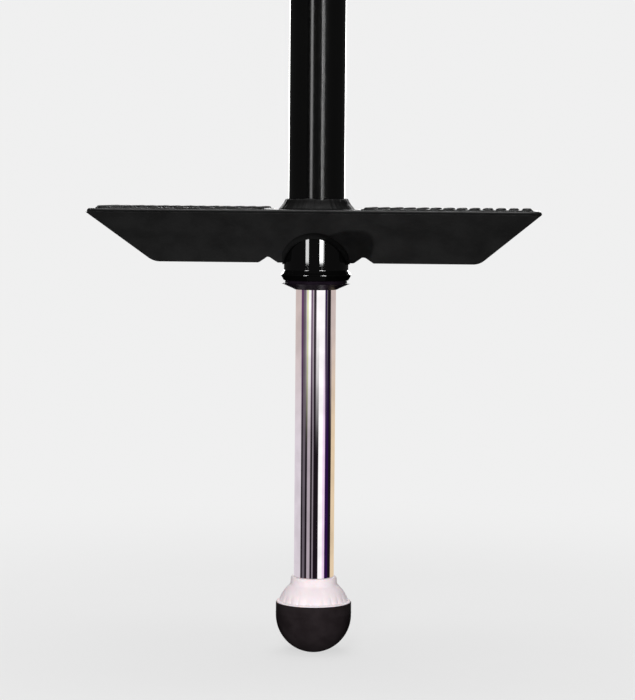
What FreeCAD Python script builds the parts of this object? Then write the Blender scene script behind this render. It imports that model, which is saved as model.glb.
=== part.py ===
import FreeCAD, Part
import math
import os

# A spring pogo stick, in millimetres.
# +Z is up, X runs along the foot platform and the handlebar, and -Y is the front.
# The origin is on the ground under the bumper, with the slider all the way out.

# Main tube, of 1.5 inch steel tube
TUBE_RADIUS = 19.05
TUBE_WALL = 1.6
TUBE_BORE = TUBE_RADIUS - TUBE_WALL
TUBE_BOTTOM = 262.0
TUBE_TOP = 1004.0

# Chrome slider and the gap that it runs with
SLIDER_RADIUS = 13.6
SLIDER_WALL = 1.8
SLIDER_BORE = SLIDER_RADIUS - SLIDER_WALL
SLIDER_BOTTOM = 22.0
SLIDER_TOP = 356.0
RUNNING_GAP = 0.05
SEATING_GAP = 0.05

# Foot platform, one pressed channel of 2.5 mm steel
PLATFORM_LENGTH = 302.8
PLATFORM_DEPTH = 78.0
PLATFORM_TOP = 301.2
PLATFORM_BOTTOM = 265.2
PLATFORM_CORNER = 9.0
SHEET = 2.5
RIM_BREAK = 1.9
RIM_UNDER_BREAK = 0.4
FLANGE_TOP_DEPTH = 38.2
FLANGE_BOTTOM_DEPTH = 5.0
FLANGE_TOP_LENGTH = 151.0
FLANGE_BOTTOM_LENGTH = 110.3
FLANGE_CORNER = 12.0
NOTCH_CENTRE = 32.4
NOTCH_HALF_WIDTH = 6.8
NOTCH_HEIGHT = 4.0
NOTCH_CROWN_HALF_WIDTH = 3.0
NOTCH_CROWN_HEIGHT = 1.3

# Tread plates on the platform, with staggered lens-shaped lugs
TREAD_START = 32.0
TREAD_END = 145.8
TREAD_DEPTH = 70.0
TREAD_THICKNESS = 0.7
TREAD_CORNER = 6.0
LUG_LENGTH = 7.0
LUG_WIDTH = 3.6
LUG_HEIGHT = 1.3
LUG_BREAK = 0.4
LUG_PITCH = 17.4
LUG_ROWS = 9
LUG_ROW_PITCH = 7.4
LUG_MARGIN = 4.2
LUG_END_GAP = 1.0

# Lower sleeve, the barrel that holds the bush and the seal
SLEEVE_RADIUS = 21.75
SLEEVE_BORE = TUBE_RADIUS + SEATING_GAP
SLEEVE_BOTTOM = 253.5
SLEEVE_LIP_RADIUS = 23.9
SLEEVE_FOOT_RADIUS = 21.9
SLEEVE_LIP_LOW = 256.0
SLEEVE_LIP_HIGH = 257.2
SLEEVE_LIP_ROUND = 0.4
SLEEVE_NECK = 261.5
SLEEVE_HOLLOW_RADIUS = 22.1
SLEEVE_HOLLOW_HEIGHT = 259.2

# Weld beads
TOP_WELD_RADIUS = 25.8
TOP_WELD_HEIGHT = 7.4
TOP_WELD_CREST = 1.7
TOP_WELD_HOLLOW = 0.3
SLEEVE_WELD_RADIUS = 24.8
SLEEVE_WELD_THICKNESS = 2.2
BAR_WELD_RADIUS = 14.6
BAR_WELD_REACH = 2.6

# Bush, seal and rebound damper, from the bottom up
SEAL_BOTTOM = 246.0
SEAL_LIP_RADIUS = 23.1
SEAL_LIP_LOW = 250.0
SEAL_LIP_HIGH = 250.4
SEAL_SHOULDER_RADIUS = 21.0
SEAL_SHOULDER = 251.3
SEAL_TOP = 259.0
SEAL_WIPER_WALL = 0.6
SEAL_WIPER_TOP = 249.0
SEAL_RELIEF_BOTTOM = 250.0
SEAL_RELIEF_RADIUS = 14.6
BUSH_TOP = 304.0
DAMPER_TOP = 316.0
DAMPER_BORE = 14.4

# Piston at the slider's inner end
PISTON_GAP = 0.07
PISTON_RADIUS = TUBE_BORE - PISTON_GAP
PISTON_PIN_HEIGHT = 333.0
PISTON_PIN_RADIUS = 3.0
PISTON_PIN_HALF_LENGTH = 17.0
TOP_PLUG_BOTTOM = 342.0
TOP_PLUG_FLANGE_RADIUS = 16.6
TOP_PLUG_FLANGE = 4.0

# Spring, its cup and its upper seat
SPRING_WIRE_RADIUS = 2.75
SPRING_MEAN_RADIUS = 13.25
SPRING_TURNS = 40
SPRING_BOTTOM = 364.0
SPRING_TOP = 774.0
SPIGOT_RADIUS = 10.0
SPIGOT_LENGTH = 10.0
CUP_RADIUS = 16.9
SEAT_HEIGHT = 26.0

# Cross bolt, M8, with its washers and lock nut
BOLT_RADIUS = 4.0
BOLT_HEIGHT = SPRING_TOP + SEAT_HEIGHT / 2
HEX_ACROSS_FLATS = 13.0
BOLT_HEAD = 5.3
NUT_HEIGHT = 8.0
WASHER_RADIUS = 8.0
WASHER_THICKNESS = 1.6
BOLT_PAST_NUT = 1.2

# Slider end plug, bumper stud and bumper
END_PLUG_BOTTOM = 20.0
END_PLUG_TOP = 40.0
STUD_RADIUS = 5.0
STUD_TOP = 36.0
STUD_DISC_RADIUS = 10.0
STUD_DISC_BOTTOM = 11.0
STUD_DISC_TOP = 14.0
BUMPER_RADIUS = 25.7
BUMPER_FLAT_RADIUS = 5.0
BUMPER_RIM = 34.2
BUMPER_RIM_ROUND = 0.3
COLLAR_SEAT = 33.0
COLLAR_SEAT_RADIUS = 24.0
COLLAR_FLANGE_RADIUS = 25.4
COLLAR_FLANGE = 0.7
COLLAR_DOME_RADIUS = 25.0
COLLAR_DOME_CENTRE = 27.0
COLLAR_NECK_RADIUS = 15.6
COLLAR_TOP = 51.6
COLLAR_TOP_BREAK = 0.8

# Handlebar, grips, end plugs and top cap
BAR_RADIUS = 11.1
BAR_WALL = 2.0
BAR_HALF_LENGTH = 147.0
BAR_HEIGHT = 982.0
GRIP_START = 31.0
GRIP_RADIUS = 16.0
GRIP_FLANGE_RADIUS = 21.0
GRIP_FLANGE = 3.5
GRIP_BREAK = 1.0
BAR_PLUG_DEPTH = 20.0
BAR_PLUG_HEAD_RADIUS = 13.0
BAR_PLUG_HEAD = 2.6
CAP_PLUG_DEPTH = 6.0
CAP_CROWN = 6.0
CAP_EDGE = 1.6

# How far a cutting shape runs past a face, and how near two heights are when they count as one
THROUGH = 1.0
NEAR = 0.01

UP = FreeCAD.Vector(0, 0, 1)
ALONG_X = FreeCAD.Vector(1, 0, 0)
ALONG_Y = FreeCAD.Vector(0, 1, 0)
ORIGIN = FreeCAD.Vector(0, 0, 0)


def point(x, y, z):
    return FreeCAD.Vector(x, y, z)


def rod(radius, bottom, top):
    """A cylinder on the stick's axis."""
    return Part.makeCylinder(radius, top - bottom, point(0, 0, bottom), UP)


def ring(outer, inner, bottom, top):
    """A tube on the stick's axis."""
    return rod(outer, bottom, top).cut(rod(inner, bottom, top))


def bar(radius, start, end, height):
    """A cylinder along X at a height."""
    return Part.makeCylinder(radius, end - start, point(start, 0, height), ALONG_X)


def cross_rod(radius, start, end, height):
    """A cylinder along Y at a height."""
    return Part.makeCylinder(radius, end - start, point(0, start, height), ALONG_Y)


def line(start, end):
    return Part.LineSegment(start, end).toShape()


def turned(outline):
    """The solid of revolution of a closed outline of (radius, height) points.

    A point with a third value is the middle of an arc between its neighbours.
    """
    edges = []
    here = outline[0]
    middle = None
    for corner in outline[1:] + outline[:1]:
        if len(corner) == 3:
            middle = point(corner[0], 0, corner[1])
            continue
        start = point(here[0], 0, here[1])
        end = point(corner[0], 0, corner[1])
        if middle is None:
            edges.append(line(start, end))
        else:
            edges.append(Part.Arc(start, middle, end).toShape())
        middle = None
        here = corner
    face = Part.Face(Part.Wire(edges))
    return face.revolve(ORIGIN, UP, 360)


def arc_middle(centre_height, radius, first_height, last_height):
    """The middle of a sphere's profile between two heights, as an outline point."""
    first = math.asin((first_height - centre_height) / radius)
    last = math.asin(min(1.0, (last_height - centre_height) / radius))
    middle = (first + last) / 2
    return (radius * math.cos(middle), centre_height + radius * math.sin(middle), "arc")


def rounded_plate(x_low, x_high, depth, corner, bottom, top):
    """A flat plate with round corners in plan."""
    plate = Part.makeBox(x_high - x_low, depth, top - bottom, point(x_low, -depth / 2, bottom))
    upright = [edge for edge in plate.Edges if abs(edge.Vertexes[0].Z - edge.Vertexes[-1].Z) > NEAR]
    return plate.makeFillet(corner, upright)


def hexagon(across_flats, start, end, height):
    """A hexagonal prism along Y."""
    radius = across_flats / math.sqrt(3)
    corners = []
    for side in range(7):
        angle = math.radians(60 * side + 30)
        corners.append(point(radius * math.cos(angle), start, height + radius * math.sin(angle)))
    return Part.Face(Part.makePolygon(corners)).extrude(ALONG_Y * (end - start))


def mirrored_x(shape):
    return shape.mirror(ORIGIN, ALONG_X)


def mirrored_y(shape):
    return shape.mirror(ORIGIN, ALONG_Y)


def main_tube():
    tube = ring(TUBE_RADIUS, TUBE_BORE, TUBE_BOTTOM, TUBE_TOP)
    reach = TUBE_RADIUS + THROUGH
    tube = tube.cut(bar(BAR_RADIUS, -reach, reach, BAR_HEIGHT))
    return tube.cut(cross_rod(BOLT_RADIUS, -reach, reach, BOLT_HEIGHT))


def lower_sleeve():
    lip_middle = (SLEEVE_LIP_LOW + SLEEVE_LIP_HIGH) / 2
    nose = (SLEEVE_LIP_RADIUS, lip_middle, "arc")
    nose_back = SLEEVE_LIP_RADIUS - SLEEVE_LIP_ROUND
    hollow = (SLEEVE_HOLLOW_RADIUS, SLEEVE_HOLLOW_HEIGHT, "arc")
    outline = [
        (SLEEVE_BORE, SLEEVE_BOTTOM),
        (SLEEVE_FOOT_RADIUS, SLEEVE_BOTTOM),
        (nose_back, SLEEVE_LIP_LOW),
        nose,
        (nose_back, SLEEVE_LIP_HIGH),
        hollow,
        (SLEEVE_RADIUS, SLEEVE_NECK),
        (SLEEVE_RADIUS, PLATFORM_TOP - SHEET),
        (SLEEVE_BORE, PLATFORM_TOP - SHEET),
    ]
    return turned(outline)


def flange_point(x, drop, inset):
    """A point of the front flange, drop from 0 at its top to 1 at its foot, inset into the sheet."""
    depth = FLANGE_TOP_DEPTH + drop * (FLANGE_BOTTOM_DEPTH - FLANGE_TOP_DEPTH) - inset
    height = PLATFORM_TOP - SHEET + drop * (PLATFORM_BOTTOM - PLATFORM_TOP + SHEET)
    return point(x, -depth, height)


def flange_lean():
    """The flange's angle from upright, in radians."""
    drop = PLATFORM_TOP - SHEET - PLATFORM_BOTTOM
    return math.atan2(FLANGE_TOP_DEPTH - FLANGE_BOTTOM_DEPTH, drop)


def flange_slab(inset, thickness, half_length):
    """A slab parallel to the front flange, thickness measured square to it."""
    across = thickness / math.cos(flange_lean())
    corners = [
        flange_point(-half_length, 0, inset),
        flange_point(-half_length, 1, inset),
        flange_point(-half_length, 1, inset + across),
        flange_point(-half_length, 0, inset + across),
        flange_point(-half_length, 0, inset),
    ]
    return Part.Face(Part.makePolygon(corners)).extrude(ALONG_X * (2 * half_length))


def flange_outline():
    """The flange's front outline as a prism through the whole platform, with its round lower corners."""
    top = PLATFORM_TOP - SHEET
    reach = PLATFORM_DEPTH
    corners = [
        point(-FLANGE_TOP_LENGTH, -reach, top),
        point(FLANGE_TOP_LENGTH, -reach, top),
        point(FLANGE_BOTTOM_LENGTH, -reach, PLATFORM_BOTTOM),
        point(-FLANGE_BOTTOM_LENGTH, -reach, PLATFORM_BOTTOM),
        point(-FLANGE_TOP_LENGTH, -reach, top),
    ]
    prism = Part.Face(Part.makePolygon(corners)).extrude(ALONG_Y * (2 * reach))
    lower = [
        edge
        for edge in prism.Edges
        if abs(edge.CenterOfMass.z - PLATFORM_BOTTOM) < NEAR
        and abs(edge.CenterOfMass.y) < NEAR
        and abs(abs(edge.CenterOfMass.x) - FLANGE_BOTTOM_LENGTH) < NEAR
    ]
    return prism.makeFillet(FLANGE_CORNER, lower)


def notch(side):
    """A relief notch with a round crown in the flange's foot."""
    centre = side * NOTCH_CENTRE
    low = PLATFORM_BOTTOM - THROUGH
    high = PLATFORM_BOTTOM + NOTCH_HEIGHT
    shoulder = high - NOTCH_CROWN_HEIGHT
    crown_half = NOTCH_CROWN_HALF_WIDTH
    spread = (NOTCH_HALF_WIDTH - crown_half) / (NOTCH_HEIGHT - NOTCH_CROWN_HEIGHT)
    foot_half = NOTCH_HALF_WIDTH + spread * THROUGH
    reach = PLATFORM_DEPTH
    left = point(centre - foot_half, -reach, low)
    left_shoulder = point(centre - crown_half, -reach, shoulder)
    crown = point(centre, -reach, high)
    right_shoulder = point(centre + crown_half, -reach, shoulder)
    right = point(centre + foot_half, -reach, low)
    edges = [
        line(left, left_shoulder),
        Part.Arc(left_shoulder, crown, right_shoulder).toShape(),
        line(right_shoulder, right),
        line(right, left),
    ]
    return Part.Face(Part.Wire(edges)).extrude(ALONG_Y * (2 * reach))


def platform_plate():
    """The flat top of the platform, with its rim edges broken above and below."""
    half = PLATFORM_LENGTH / 2
    bottom = PLATFORM_TOP - SHEET
    plate = rounded_plate(-half, half, PLATFORM_DEPTH, PLATFORM_CORNER, bottom, PLATFORM_TOP)
    for height, rim_break in ((PLATFORM_TOP, RIM_BREAK), (bottom, RIM_UNDER_BREAK)):
        edges = [edge for edge in plate.Edges if abs(edge.CenterOfMass.z - height) < NEAR]
        plate = plate.makeFillet(rim_break, edges)
    return plate


def foot_platform():
    flange = flange_slab(0, SHEET, FLANGE_TOP_LENGTH).common(flange_outline())
    flange = flange.cut(notch(-1)).cut(notch(1))
    platform = platform_plate().fuse(flange).fuse(mirrored_y(flange))
    platform = platform.cut(rod(TUBE_RADIUS, PLATFORM_TOP - SHEET - THROUGH, PLATFORM_TOP + THROUGH))
    platform = platform.cut(rod(SLEEVE_RADIUS, PLATFORM_BOTTOM - THROUGH, PLATFORM_TOP - SHEET))
    return platform.removeSplitter()


def lug(x, y, height):
    """One lens-shaped lug with its top edge broken."""
    half_length = LUG_LENGTH / 2
    left = point(x - half_length, y, height)
    right = point(x + half_length, y, height)
    front = point(x, y - LUG_WIDTH / 2, height)
    back = point(x, y + LUG_WIDTH / 2, height)
    edges = [Part.Arc(left, front, right).toShape(), Part.Arc(right, back, left).toShape()]
    block = Part.Face(Part.Wire(edges)).extrude(UP * LUG_HEIGHT)
    crown = [edge for edge in block.Edges if abs(edge.CenterOfMass.z - height - LUG_HEIGHT) < NEAR]
    return block.makeChamfer(LUG_BREAK, crown)


def tread_right():
    top = PLATFORM_TOP + TREAD_THICKNESS
    sheet = rounded_plate(TREAD_START, TREAD_END, TREAD_DEPTH, TREAD_CORNER, PLATFORM_TOP, top)
    lugs = []
    for row in range(LUG_ROWS):
        y = (row - (LUG_ROWS - 1) / 2) * LUG_ROW_PITCH
        x = TREAD_END - LUG_MARGIN - (row % 2) * LUG_PITCH / 2
        while x - LUG_LENGTH / 2 > TREAD_START + LUG_END_GAP:
            lugs.append(lug(x, y, top))
            x -= LUG_PITCH
    return sheet.fuse(lugs).removeSplitter()


def platform_weld():
    """The bead round the main tube on the platform, with a hollow face."""
    crest_radius = TUBE_RADIUS + TOP_WELD_CREST
    crest = PLATFORM_TOP + TOP_WELD_HEIGHT
    hollow = (
        (crest_radius + TOP_WELD_RADIUS) / 2 - TOP_WELD_HOLLOW,
        PLATFORM_TOP + TOP_WELD_HEIGHT / 2 - TOP_WELD_HOLLOW,
        "arc",
    )
    outline = [
        (TUBE_RADIUS, PLATFORM_TOP),
        (TOP_WELD_RADIUS, PLATFORM_TOP),
        hollow,
        (crest_radius, crest),
        (TUBE_RADIUS, crest),
    ]
    return turned(outline)


def sleeve_weld_front():
    """The bead where the sleeve comes through the front flange."""
    slab = flange_slab(0, -SLEEVE_WELD_THICKNESS, SLEEVE_WELD_RADIUS)
    shell = ring(SLEEVE_WELD_RADIUS, SLEEVE_RADIUS, PLATFORM_BOTTOM, PLATFORM_TOP - SHEET)
    reach = SLEEVE_WELD_RADIUS
    front = Part.makeBox(2 * reach, reach, PLATFORM_TOP, point(-reach, -reach, 0))
    return slab.common(shell).common(front)


def lower_bush():
    bore = SLIDER_RADIUS + RUNNING_GAP
    body = ring(TUBE_BORE, bore, TUBE_BOTTOM, BUSH_TOP)
    flange = ring(TUBE_RADIUS, bore, SEAL_TOP, TUBE_BOTTOM)
    return body.fuse(flange).removeSplitter()


def rubber_seal():
    """The seal plugged into the sleeve, with a wiper round the slider and a thin flared lip."""
    wiper = SLIDER_RADIUS + RUNNING_GAP
    outline = [
        (wiper, SEAL_BOTTOM),
        (wiper + SEAL_WIPER_WALL, SEAL_BOTTOM),
        (SEAL_LIP_RADIUS, SEAL_LIP_LOW),
        (SEAL_LIP_RADIUS, SEAL_LIP_HIGH),
        (SEAL_SHOULDER_RADIUS, SEAL_SHOULDER),
        (SEAL_SHOULDER_RADIUS, SLEEVE_BOTTOM),
        (TUBE_RADIUS, SLEEVE_BOTTOM),
        (TUBE_RADIUS, SEAL_TOP),
        (SEAL_RELIEF_RADIUS, SEAL_TOP),
        (SEAL_RELIEF_RADIUS, SEAL_RELIEF_BOTTOM),
        (wiper, SEAL_WIPER_TOP),
    ]
    return turned(outline)


def rebound_damper():
    return ring(TUBE_BORE - SEATING_GAP, DAMPER_BORE, BUSH_TOP, DAMPER_TOP)


def piston_pin():
    return cross_rod(PISTON_PIN_RADIUS, -PISTON_PIN_HALF_LENGTH, PISTON_PIN_HALF_LENGTH, PISTON_PIN_HEIGHT)


def slider_tube():
    return ring(SLIDER_RADIUS, SLIDER_BORE, SLIDER_BOTTOM, SLIDER_TOP).cut(piston_pin())


def piston_bush():
    return ring(PISTON_RADIUS, SLIDER_RADIUS, DAMPER_TOP, SLIDER_TOP).cut(piston_pin())


def slider_top_plug():
    spigot = rod(SLIDER_BORE, TOP_PLUG_BOTTOM, SLIDER_TOP)
    flange = rod(TOP_PLUG_FLANGE_RADIUS, SLIDER_TOP, SLIDER_TOP + TOP_PLUG_FLANGE)
    return spigot.fuse(flange).removeSplitter()


def spring_cup():
    plate = rod(CUP_RADIUS, SLIDER_TOP + TOP_PLUG_FLANGE, SPRING_BOTTOM)
    spigot = rod(SPIGOT_RADIUS, SPRING_BOTTOM, SPRING_BOTTOM + SPIGOT_LENGTH)
    return plate.fuse(spigot).removeSplitter()


def main_spring():
    """Round wire in a helix, built from one turn repeated, with both ends ground flat."""
    pitch = (SPRING_TOP - SPRING_BOTTOM) / SPRING_TURNS
    helix = Part.makeHelix(pitch, pitch, SPRING_MEAN_RADIUS).Edges[0]
    start = helix.valueAt(helix.FirstParameter)
    heading = helix.tangentAt(helix.FirstParameter)
    section = Part.Wire(Part.Circle(start, heading, SPRING_WIRE_RADIUS).toShape())
    turn = Part.Wire(helix).makePipeShell([section], True, True)
    skin = [face for face in turn.Faces if not isinstance(face.Surface, Part.Plane)]
    ends = [face for face in turn.Faces if isinstance(face.Surface, Part.Plane)]
    ends.sort(key=lambda face: face.CenterOfMass.z)
    faces = [ends[0], ends[1].translated(UP * (pitch * (SPRING_TURNS - 1)))]
    for number in range(SPRING_TURNS):
        faces += [face.translated(UP * (pitch * number)) for face in skin]
    shell = Part.makeShell(faces)
    shell.sewShape()
    coil = Part.makeSolid(shell.Shells[0]).translated(UP * SPRING_BOTTOM)
    between_seats = rod(SPRING_MEAN_RADIUS + 2 * SPRING_WIRE_RADIUS, SPRING_BOTTOM, SPRING_TOP)
    return coil.common(between_seats)


def upper_spring_seat():
    seat = rod(TUBE_BORE - SEATING_GAP, SPRING_TOP, SPRING_TOP + SEAT_HEIGHT)
    spigot = rod(SPIGOT_RADIUS, SPRING_TOP - SPIGOT_LENGTH, SPRING_TOP)
    bolt_hole = cross_rod(BOLT_RADIUS, -TUBE_RADIUS, TUBE_RADIUS, BOLT_HEIGHT)
    return seat.fuse(spigot).removeSplitter().cut(bolt_hole)


def spring_bolt():
    head_face = -TUBE_RADIUS - WASHER_THICKNESS
    end = TUBE_RADIUS + WASHER_THICKNESS + NUT_HEIGHT + BOLT_PAST_NUT
    head = hexagon(HEX_ACROSS_FLATS, head_face - BOLT_HEAD, head_face, BOLT_HEIGHT)
    return head.fuse(cross_rod(BOLT_RADIUS, head_face, end, BOLT_HEIGHT)).removeSplitter()


def bolt_washers():
    face = TUBE_RADIUS
    hole = cross_rod(BOLT_RADIUS, -PLATFORM_DEPTH, PLATFORM_DEPTH, BOLT_HEIGHT)
    back = cross_rod(WASHER_RADIUS, face, face + WASHER_THICKNESS, BOLT_HEIGHT).cut(hole)
    return Part.makeCompound([mirrored_y(back), back])


def lock_nut():
    start = TUBE_RADIUS + WASHER_THICKNESS
    nut = hexagon(HEX_ACROSS_FLATS, start, start + NUT_HEIGHT, BOLT_HEIGHT)
    return nut.cut(cross_rod(BOLT_RADIUS, start, start + NUT_HEIGHT, BOLT_HEIGHT))


def slider_end_plug():
    flange = rod(SLIDER_RADIUS, END_PLUG_BOTTOM, SLIDER_BOTTOM)
    spigot = rod(SLIDER_BORE, SLIDER_BOTTOM, END_PLUG_TOP)
    return flange.fuse(spigot).removeSplitter().cut(rod(STUD_RADIUS, END_PLUG_BOTTOM, END_PLUG_TOP))


def bumper_stud():
    disc = rod(STUD_DISC_RADIUS, STUD_DISC_BOTTOM, STUD_DISC_TOP)
    return disc.fuse(rod(STUD_RADIUS, STUD_DISC_TOP, STUD_TOP)).removeSplitter()


def bumper_tip():
    """A ball below its middle and an upright side above it, hollow for the slider and the collar."""
    centre = math.sqrt(BUMPER_RADIUS**2 - BUMPER_FLAT_RADIUS**2)
    rim_round = BUMPER_RIM_ROUND
    rim_middle = rim_round * (1 - math.sqrt(0.5))
    outline = [
        (0, 0),
        (BUMPER_FLAT_RADIUS, 0),
        arc_middle(centre, BUMPER_RADIUS, 0, centre),
        (BUMPER_RADIUS, centre),
        (BUMPER_RADIUS, BUMPER_RIM - rim_round),
        (BUMPER_RADIUS - rim_middle, BUMPER_RIM - rim_middle, "arc"),
        (BUMPER_RADIUS - rim_round, BUMPER_RIM),
        (COLLAR_SEAT_RADIUS, BUMPER_RIM),
        (COLLAR_SEAT_RADIUS, COLLAR_SEAT),
        (SLIDER_RADIUS, COLLAR_SEAT),
        (SLIDER_RADIUS, END_PLUG_BOTTOM),
        (0, END_PLUG_BOTTOM),
    ]
    return turned(outline).cut(bumper_stud())


def bumper_collar():
    """The dome on top of the bumper, with a thin flange on its rim and a short neck round the slider."""
    dome_foot = BUMPER_RIM + COLLAR_FLANGE
    foot_radius = math.sqrt(COLLAR_DOME_RADIUS**2 - (dome_foot - COLLAR_DOME_CENTRE) ** 2)
    dome_top = COLLAR_DOME_CENTRE + math.sqrt(COLLAR_DOME_RADIUS**2 - COLLAR_NECK_RADIUS**2)
    outline = [
        (SLIDER_RADIUS, COLLAR_SEAT),
        (COLLAR_SEAT_RADIUS, COLLAR_SEAT),
        (COLLAR_SEAT_RADIUS, BUMPER_RIM),
        (COLLAR_FLANGE_RADIUS, BUMPER_RIM),
        (COLLAR_FLANGE_RADIUS, dome_foot),
        (foot_radius, dome_foot),
        arc_middle(COLLAR_DOME_CENTRE, COLLAR_DOME_RADIUS, dome_foot, dome_top),
        (COLLAR_NECK_RADIUS, dome_top),
        (COLLAR_NECK_RADIUS, COLLAR_TOP - COLLAR_TOP_BREAK),
        (COLLAR_NECK_RADIUS - COLLAR_TOP_BREAK, COLLAR_TOP),
        (SLIDER_RADIUS, COLLAR_TOP),
    ]
    return turned(outline)


def handlebar():
    whole = bar(BAR_RADIUS, -BAR_HALF_LENGTH, BAR_HALF_LENGTH, BAR_HEIGHT)
    return whole.cut(bar(BAR_RADIUS - BAR_WALL, -BAR_HALF_LENGTH, BAR_HALF_LENGTH, BAR_HEIGHT))


def handlebar_weld_right():
    """The saddle-shaped bead where the bar leaves the main tube."""
    reach = TUBE_RADIUS + BAR_WELD_REACH
    collar = bar(BAR_WELD_RADIUS, 0, reach, BAR_HEIGHT).cut(bar(BAR_RADIUS, 0, reach, BAR_HEIGHT))
    low = BAR_HEIGHT - BAR_WELD_RADIUS
    high = BAR_HEIGHT + BAR_WELD_RADIUS
    return collar.common(ring(reach, TUBE_RADIUS, low, high))


def top_cap():
    """A plug in the top of the main tube, with a low crown."""
    plug = rod(TUBE_BORE - SEATING_GAP, TUBE_TOP - CAP_PLUG_DEPTH, TUBE_TOP)
    edge = TUBE_TOP + CAP_EDGE
    crown = TUBE_TOP + CAP_CROWN
    rise = CAP_CROWN - CAP_EDGE
    radius = (TUBE_RADIUS**2 + rise**2) / (2 * rise)
    outline = [
        (0, TUBE_TOP),
        (TUBE_RADIUS, TUBE_TOP),
        (TUBE_RADIUS, edge),
        arc_middle(crown - radius, radius, edge, crown),
        (0, crown),
    ]
    return plug.fuse(turned(outline)).removeSplitter()


def grip_right():
    body = bar(GRIP_RADIUS, GRIP_START, BAR_HALF_LENGTH, BAR_HEIGHT)
    flange = bar(GRIP_FLANGE_RADIUS, GRIP_START, GRIP_START + GRIP_FLANGE, BAR_HEIGHT)
    grip = body.fuse(flange).removeSplitter()
    flange_edges = [
        edge
        for edge in grip.Edges
        if isinstance(edge.Curve, Part.Circle) and abs(edge.Curve.Radius - GRIP_FLANGE_RADIUS) < NEAR
    ]
    grip = grip.makeFillet(GRIP_BREAK, flange_edges)
    return grip.cut(bar(BAR_RADIUS, GRIP_START, BAR_HALF_LENGTH, BAR_HEIGHT))


def bar_plug_right():
    spigot = bar(BAR_RADIUS - BAR_WALL, BAR_HALF_LENGTH - BAR_PLUG_DEPTH, BAR_HALF_LENGTH, BAR_HEIGHT)
    head = bar(BAR_PLUG_HEAD_RADIUS, BAR_HALF_LENGTH, BAR_HALF_LENGTH + BAR_PLUG_HEAD, BAR_HEIGHT)
    end = BAR_HALF_LENGTH + BAR_PLUG_HEAD
    outer_edges = [edge for edge in head.Edges if edge.CenterOfMass.x > end - NEAR]
    head = head.makeFillet(GRIP_BREAK, outer_edges)
    return spigot.fuse(head).removeSplitter()


def main():
    os.makedirs("parts", exist_ok=True)
    tread = tread_right()
    sleeve_weld = sleeve_weld_front()
    bar_weld = handlebar_weld_right()
    grip = grip_right()
    bar_plug = bar_plug_right()
    nodes = {
        "main_tube": main_tube(),
        "lower_sleeve": lower_sleeve(),
        "foot_platform": foot_platform(),
        "tread_left": mirrored_x(tread),
        "tread_right": tread,
        "platform_weld": platform_weld(),
        "sleeve_weld_front": sleeve_weld,
        "sleeve_weld_back": mirrored_y(sleeve_weld),
        "lower_bush": lower_bush(),
        "rubber_seal": rubber_seal(),
        "rebound_damper": rebound_damper(),
        "slider_tube": slider_tube(),
        "piston_bush": piston_bush(),
        "piston_pin": piston_pin(),
        "slider_top_plug": slider_top_plug(),
        "spring_cup": spring_cup(),
        "main_spring": main_spring(),
        "upper_spring_seat": upper_spring_seat(),
        "spring_bolt": spring_bolt(),
        "bolt_washers": bolt_washers(),
        "lock_nut": lock_nut(),
        "slider_end_plug": slider_end_plug(),
        "bumper_stud": bumper_stud(),
        "bumper_tip": bumper_tip(),
        "bumper_collar": bumper_collar(),
        "handlebar": handlebar(),
        "handlebar_weld_left": mirrored_x(bar_weld),
        "handlebar_weld_right": bar_weld,
        "top_cap": top_cap(),
        "grip_left": mirrored_x(grip),
        "grip_right": grip,
        "bar_plug_left": mirrored_x(bar_plug),
        "bar_plug_right": bar_plug,
    }
    for name, shape in nodes.items():
        box = shape.BoundBox
        sizes = f"{box.XLength:.1f} x {box.YLength:.1f} x {box.ZLength:.1f} mm"
        print(f"{name}: {len(shape.Solids)} solid, valid {shape.isValid()}, {sizes}")
        shape.exportStep(f"parts/{name}.step")


main()
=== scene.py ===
import bmesh
import bpy
import math
from mathutils import Matrix, Vector, noise


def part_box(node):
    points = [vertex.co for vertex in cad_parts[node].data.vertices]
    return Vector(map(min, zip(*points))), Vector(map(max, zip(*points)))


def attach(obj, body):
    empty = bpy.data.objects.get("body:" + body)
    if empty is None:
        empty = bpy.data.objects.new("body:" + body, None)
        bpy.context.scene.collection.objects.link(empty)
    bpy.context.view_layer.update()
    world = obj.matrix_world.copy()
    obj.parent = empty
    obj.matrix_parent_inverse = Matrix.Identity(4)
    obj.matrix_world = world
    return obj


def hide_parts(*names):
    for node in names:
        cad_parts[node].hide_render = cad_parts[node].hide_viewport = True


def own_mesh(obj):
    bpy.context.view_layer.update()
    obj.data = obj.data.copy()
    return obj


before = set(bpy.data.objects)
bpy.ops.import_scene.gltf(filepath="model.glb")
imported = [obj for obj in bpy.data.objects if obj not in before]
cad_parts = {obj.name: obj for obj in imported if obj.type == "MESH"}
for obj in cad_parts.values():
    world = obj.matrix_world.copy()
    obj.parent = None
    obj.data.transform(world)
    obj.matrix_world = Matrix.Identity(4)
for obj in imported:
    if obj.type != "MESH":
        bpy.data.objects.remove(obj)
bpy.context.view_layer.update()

MM = 0.001

# Points round a turned piece
AROUND = 192
SLIDER_AROUND = 288

# Camera: its place in metres, its lens in millimetres and its turns in degrees
LENS = 121.0
CAMERA_PLACE = (0.0037, -1.5917, 0.312)
CAMERA_YAW = -0.084
CAMERA_PITCH = -3.806
CAMERA_ROLL = 0.45
CAMERA_ORBIT = 4.9

# Studio: colours, and radii about the stick in metres
FLOOR_RADIUS = 9.0
PALE = (0.87, 0.87, 0.87, 1)
WHITE = (1, 1, 1, 1)
CARD_RADIUS = 1.5
REFLECTOR_RADIUS = 0.4

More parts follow.
